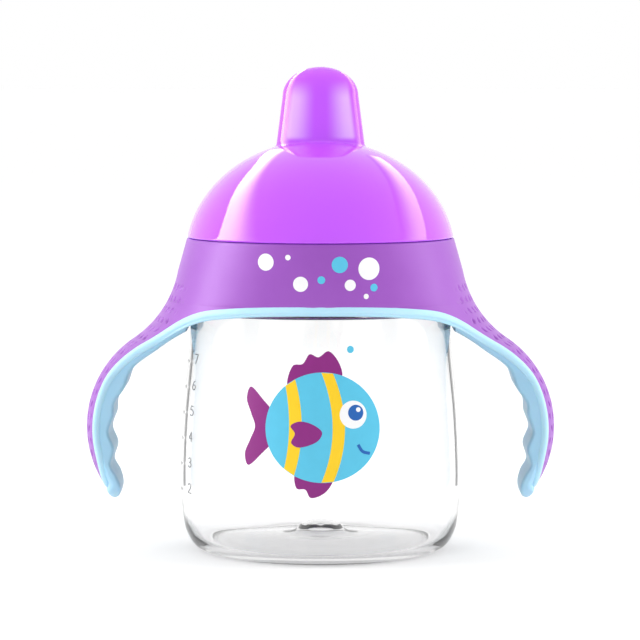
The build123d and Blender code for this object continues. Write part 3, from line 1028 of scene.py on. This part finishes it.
def make_fish_print():
    """A plain side-on fish of generic design on the cup's front, with a bubble above it."""

    def printed(name, outlines, layer, material):
        """Each later layer stands out further on both faces, so the print reads from inside the cup too."""
        depth = INK_LAYER * layer
        patches = [stretch(o, (1.0, 1.0), FISH_CENTRE) for o in outlines]
        print_patch(name, patches, wrap_on_cup, depth, material, "cup", "clear_cup", sunk=depth)

    body = stretch(disc(0.0, 0.0, 1.0, 120), FISH_HALF, (0.0, 0.0))
    tail = closed_curve([(-13.2, 3.2), (-16.6, 7.2), (-20.6, 10.4), (-21.6, 7.4), (-20.0, 3.4), (-18.7, 0.0),
                         (-20.0, -3.4), (-21.6, -7.4), (-20.6, -10.4), (-16.6, -7.2), (-13.2, -3.2)])
    top_fin = closed_curve([(5.2, 13.2), (4.6, 17.0), (1.6, 20.2), (-1.2, 18.6), (-3.6, 19.4), (-5.6, 16.8),
                            (-8.2, 16.4), (-9.6, 11.0), (-2.0, 13.0)])
    low_fin = closed_curve([(2.6, -13.6), (0.6, -17.2), (-3.2, -18.6), (-4.6, -16.4), (-6.8, -16.2),
                            (-7.2, -12.2), (-2.0, -13.2)])
    side_fin = closed_curve([(-0.2, -1.2), (-2.8, 0.9), (-6.4, 1.6), (-8.6, 0.4), (-7.4, -1.6), (-8.4, -4.0),
                             (-6.8, -5.2), (-3.4, -4.6), (-1.0, -3.2)])
    stripes = [on_body(2.2, -11.2) + on_body(2.6, -8.2)[::-1], on_body(3.0, -0.4) + on_body(3.2, 2.7)[::-1]]
    smile = ribbon(through([(9.4, -4.6), (10.6, -6.4), (12.6, -7.0)], 0.4), 0.8)
    printed("fish_fins", [tail, top_fin, low_fin], 1, MAGENTA_INK)
    printed("fish_body", [body], 2, SKY_INK)
    printed("fish_stripes", stripes, 3, YELLOW_INK)
    printed("fish_side_fin", [side_fin], 4, MAGENTA_INK)
    printed("fish_eye", [disc(8.2, 3.4, 3.7)], 4, WHITE_INK)
    printed("fish_pupil", [disc(8.9, 3.9, 2.1), smile], 5, NAVY_INK)
    printed("fish_glint", [disc(9.6, 4.7, 0.62)], 6, WHITE_INK)
    printed("fish_bubble", [disc(7.8, 20.6, 0.98)], 2, SKY_INK)


DIGIT_STROKES = {
    2: [[(0.03, 0.78), (0.28, 1.0), (0.56, 0.80), (0.46, 0.52), (0.0, 0.0)], [(0.0, 0.0), (0.6, 0.0)]],
    3: [[(0.04, 0.86), (0.30, 1.0), (0.54, 0.80), (0.44, 0.58), (0.22, 0.53)],
        [(0.22, 0.53), (0.52, 0.44), (0.58, 0.20), (0.32, 0.0), (0.0, 0.13)]],
    4: [[(0.45, 0.0), (0.45, 1.0)], [(0.45, 1.0), (0.0, 0.32)], [(0.0, 0.32), (0.62, 0.32)]],
    5: [[(0.54, 1.0), (0.10, 1.0)], [(0.10, 1.0), (0.05, 0.56)],
        [(0.05, 0.56), (0.32, 0.63), (0.58, 0.40), (0.50, 0.10), (0.24, 0.0), (0.0, 0.10)]],
    6: [[(0.50, 0.97), (0.16, 0.68), (0.03, 0.34), (0.14, 0.06), (0.36, 0.0), (0.57, 0.24), (0.44, 0.50),
         (0.20, 0.50), (0.04, 0.32)]],
    7: [[(0.0, 1.0), (0.6, 1.0)], [(0.6, 1.0), (0.18, 0.0)]],
}
SCALE_BOTTOM = 17.2
SCALE_STEP = 7.04
DIGIT_SIZE = (3.9, 2.6)
DIGIT_AZIMUTH = math.radians(-69.2)
TICK_AZIMUTH = math.radians(-83.0)
TICK_HALF = (1.6, 0.42)


def make_scale():
    """Moulded volume scale on the cup's left: a short bar and a number for each fluid ounce from 2 to 7."""
    numbers = []
    bars = []
    for digit, strokes in DIGIT_STROKES.items():
        level = SCALE_BOTTOM + SCALE_STEP * (digit - 2)
        for stroke in strokes:
            outline_points = ribbon(through(stroke, 0.08), 0.11)
            numbers.append(stretch(outline_points, DIGIT_SIZE, (0.0, level)))
        half_length, half_height = TICK_HALF
        bar = []
        for c, s in disc(0.0, 0.0, 1.0, 24):
            u = half_length * math.copysign(abs(c) ** 0.4, c)
            v = half_height * math.copysign(abs(s) ** 0.6, s)
            bar.append((u, level + v))
        bars.append(bar)

    def at_numbers(u, v, lift):
        return wrap_on_cup(u, v, lift, DIGIT_AZIMUTH)

    def at_bars(u, v, lift):
        return wrap_on_cup(u, v, lift, TICK_AZIMUTH)

    print_patch("scale_numbers", numbers, at_numbers, 0.12, DIGIT_RELIEF, "cup", "clear_cup")
    print_patch("scale_bars", bars, at_bars, 0.18, CLEAR, "cup", "clear_cup")


# ---------------- stage

WORLD_FRONT = 0.62
WORLD_BACK = 1.02
CARD_PLACE = (0.091, 0.116, 0.075)
CARD_WIDTH = 0.022
CARD_LEAN = math.radians(28.0)
WASH_SIZE = (0.6, 0.9)
WASH_POWER = 4.8
ARCH_DISTANCE = 1.1
ARCH_LEFT = ([(-112, 2), (-100, 14), (-104, 30), (-124, 41), (-151, 41), (-171, 24)],
             [(-50, 4), (-56, 18), (-71, 41), (-104, 56), (-151, 51), (-171, 36)])
ARCH_RIGHT = ([(112, 1), (103, 10), (112, 27), (131, 36), (151, 36), (164, 32)],
              [(56, 3), (70, 16), (86, 41), (119, 52), (152, 47), (165, 39)])
ARCH_LEFT_GLOW = 8.0
ARCH_RIGHT_GLOW = 3.4
FLOOR_HALF = 40.0
CAMERA_PLACE = (-0.00014, -0.861, 0.1298)
CAMERA_TARGET = (-0.00014, 0.0, 0.0633)
CAMERA_LENS = 176.0


def add_to_scene(name, data, place=None, aim=None):
    """An object of the studio, in metres, turned from its place to look at its aim."""
    thing = bpy.data.objects.new(name, data)
    bpy.context.scene.collection.objects.link(thing)
    if place:
        thing.location = place
        thing.rotation_euler = (Vector(aim) - Vector(place)).to_track_quat("-Z", "Y").to_euler()
    return thing


def hide_from(thing, *rays):
    """Hides an object of the studio from kinds of rays."""
    for kind in rays:
        setattr(thing, "visible_" + kind, False)


def wash_light(name, place):
    """A rectangular softbox that washes over the cup without showing in reflections."""
    data = bpy.data.lights.new(name, "AREA")
    data.shape = "RECTANGLE"
    data.size, data.size_y = WASH_SIZE
    data.energy = WASH_POWER
    hide_from(add_to_scene(name, data, place, (0.0, 0.0, 0.08)), "glossy", "transmission")


def stage_mesh(name, points, faces, material):
    """Something of the studio, in metres, that isn't part of the cup."""
    mesh = bpy.data.meshes.new(name)
    mesh.from_pydata(points, [], faces)
    mesh.materials.append(material)
    thing = add_to_scene(name, mesh)
    return thing


def edge_card(side):
    """A narrow dark card behind one side of the cup. It shows only to rays that have passed the wall once,
    so it draws a line in the clear wall's edge and is clear to a look straight through the cup."""
    material, tree, shader = principled("edge_card", (0.02, 0.02, 0.02), Roughness=1.0)
    depth = add_node(tree, "LightPath").outputs["Transmission Depth"]
    tree.links.new(math_node(tree, "LESS_THAN", depth, 2.5), shader.inputs["Alpha"])
    x, y, top = CARD_PLACE
    dx = side * CARD_WIDTH / 2 * math.cos(CARD_LEAN)
    dy = -CARD_WIDTH / 2 * math.sin(CARD_LEAN)
    x *= side
    points = [(x - dx, y - dy, 0.001), (x + dx, y + dy, 0.001), (x + dx, y + dy, top), (x - dx, y - dy, top)]
    card = stage_mesh("edge_card", points, [(0, 1, 2, 3)], material)
    hide_from(card, "camera", "diffuse", "glossy", "shadow")


def direction(azimuth, elevation):
    """Unit vector. Azimuth 0 is towards the camera and grows towards +X."""
    a, e = math.radians(azimuth), math.radians(elevation)
    return Vector((math.sin(a) * math.cos(e), -math.cos(a) * math.cos(e), math.sin(e)))


def arch_softbox(name, outer, inner, strength):
    """A curved softbox over one side of the set, brightest at its outer edge, for long soft reflections."""
    rows = 32
    across = 6
    edges = [resample(through([direction(*d) for d in edge], 0.05), rows) for edge in (outer, inner)]
    points = []
    numbered = []
    for a, b in zip(*edges):
        row = [a.lerp(b, j / across).normalized() * ARCH_DISTANCE for j in range(across + 1)]
        numbered.append(add_row(points, row))
    faces = []
    for low_row, high_row in zip(numbered, numbered[1:]):
        faces += [(low_row[j], low_row[j + 1], high_row[j + 1], high_row[j]) for j in range(across)]
    material = bpy.data.materials.new(name)
    material.use_nodes = True
    tree = material.node_tree
    tree.nodes.remove(tree.nodes["Principled BSDF"])
    fade = map_range(tree, axis_of(tree, "UV", "X"), 0.25, 1.0, strength, 0.15 * strength)
    glow = add_node(tree, "Emission", Strength=fade)
    tree.links.new(glow.outputs["Emission"], tree.nodes["Material Output"].inputs["Surface"])
    arch = stage_mesh(name, points, faces, material)
    layer = arch.data.uv_layers.new(name="UVMap")
    for loop in arch.data.loops:
        row, column = divmod(loop.vertex_index, across + 1)
        layer.data[loop.index].uv = (column / across, row / rows)
    hide_from(arch, "camera", "diffuse", "transmission", "shadow")


def make_world():
    """White surround that is dimmer on the front's side, so round shapes get brighter towards their edges."""
    world = bpy.data.worlds.new("studio")
    world.use_nodes = True
    tree = world.node_tree
    background = tree.nodes["Background"]
    background.inputs["Color"].default_value = (1.0, 1.0, 1.0, 1.0)
    light = map_range(tree, axis_of(tree, "Generated", "Y"), -1.0, 0.4, WORLD_FRONT, WORLD_BACK, "LINEAR")
    from_camera = add_node(tree, "LightPath").outputs["Is Camera Ray"]
    seen = add_node(tree, "Mix", Factor=from_camera, A=light, B=1.0)
    tree.links.new(seen.outputs["Result"], background.inputs["Strength"])
    bpy.context.scene.world = world


def make_floor():
    """White table, wide enough to reach the horizon."""
    material, tree, shader = principled(
        "pale_table", (0.60, 0.60, 0.60), Roughness=0.9,
        Emission_Color=(1.0, 1.0, 1.0, 1.0), Emission_Strength=0.43
    )
    add_relief(tree, shader, 600.0, 0.00001, 0.1)
    corners = [(x * FLOOR_HALF, y * FLOOR_HALF, 0) for x, y in ((-1, -1), (1, -1), (1, 1), (-1, 1))]
    stage_mesh("floor", corners, [(0, 1, 2, 3)], material)


def make_stage():
    """White table and surround, soft lights, and the camera a little above the cup's cap."""
    scene = bpy.context.scene
    scene.view_settings.view_transform = "Standard"
    scene.cycles.max_bounces = 24
    scene.cycles.transmission_bounces = 24
    scene.cycles.transparent_max_bounces = 24
    make_world()
    make_floor()
    wash_light("wash_left", (-0.85, -0.10, 0.45))
    wash_light("wash_right", (0.85, 0.0, 0.45))
    arch_softbox("arch_left", *ARCH_LEFT, ARCH_LEFT_GLOW)
    arch_softbox("arch_right", *ARCH_RIGHT, ARCH_RIGHT_GLOW)
    edge_card(-1)
    edge_card(1)
    camera_data = bpy.data.cameras.new("camera")
    camera_data.lens = CAMERA_LENS
    camera_data.sensor_width = 36.0
    scene.camera = add_to_scene("camera", camera_data, CAMERA_PLACE, CAMERA_TARGET)


make_cup()
make_shell()
make_bead()
make_grip("right_grip_pad", "right_grip", 1.0)
make_grip("left_grip_pad", "left_grip", -1.0)
make_cap()
finish_cad_nodes()
make_band_print()
make_fish_print()
make_scale()
make_stage()
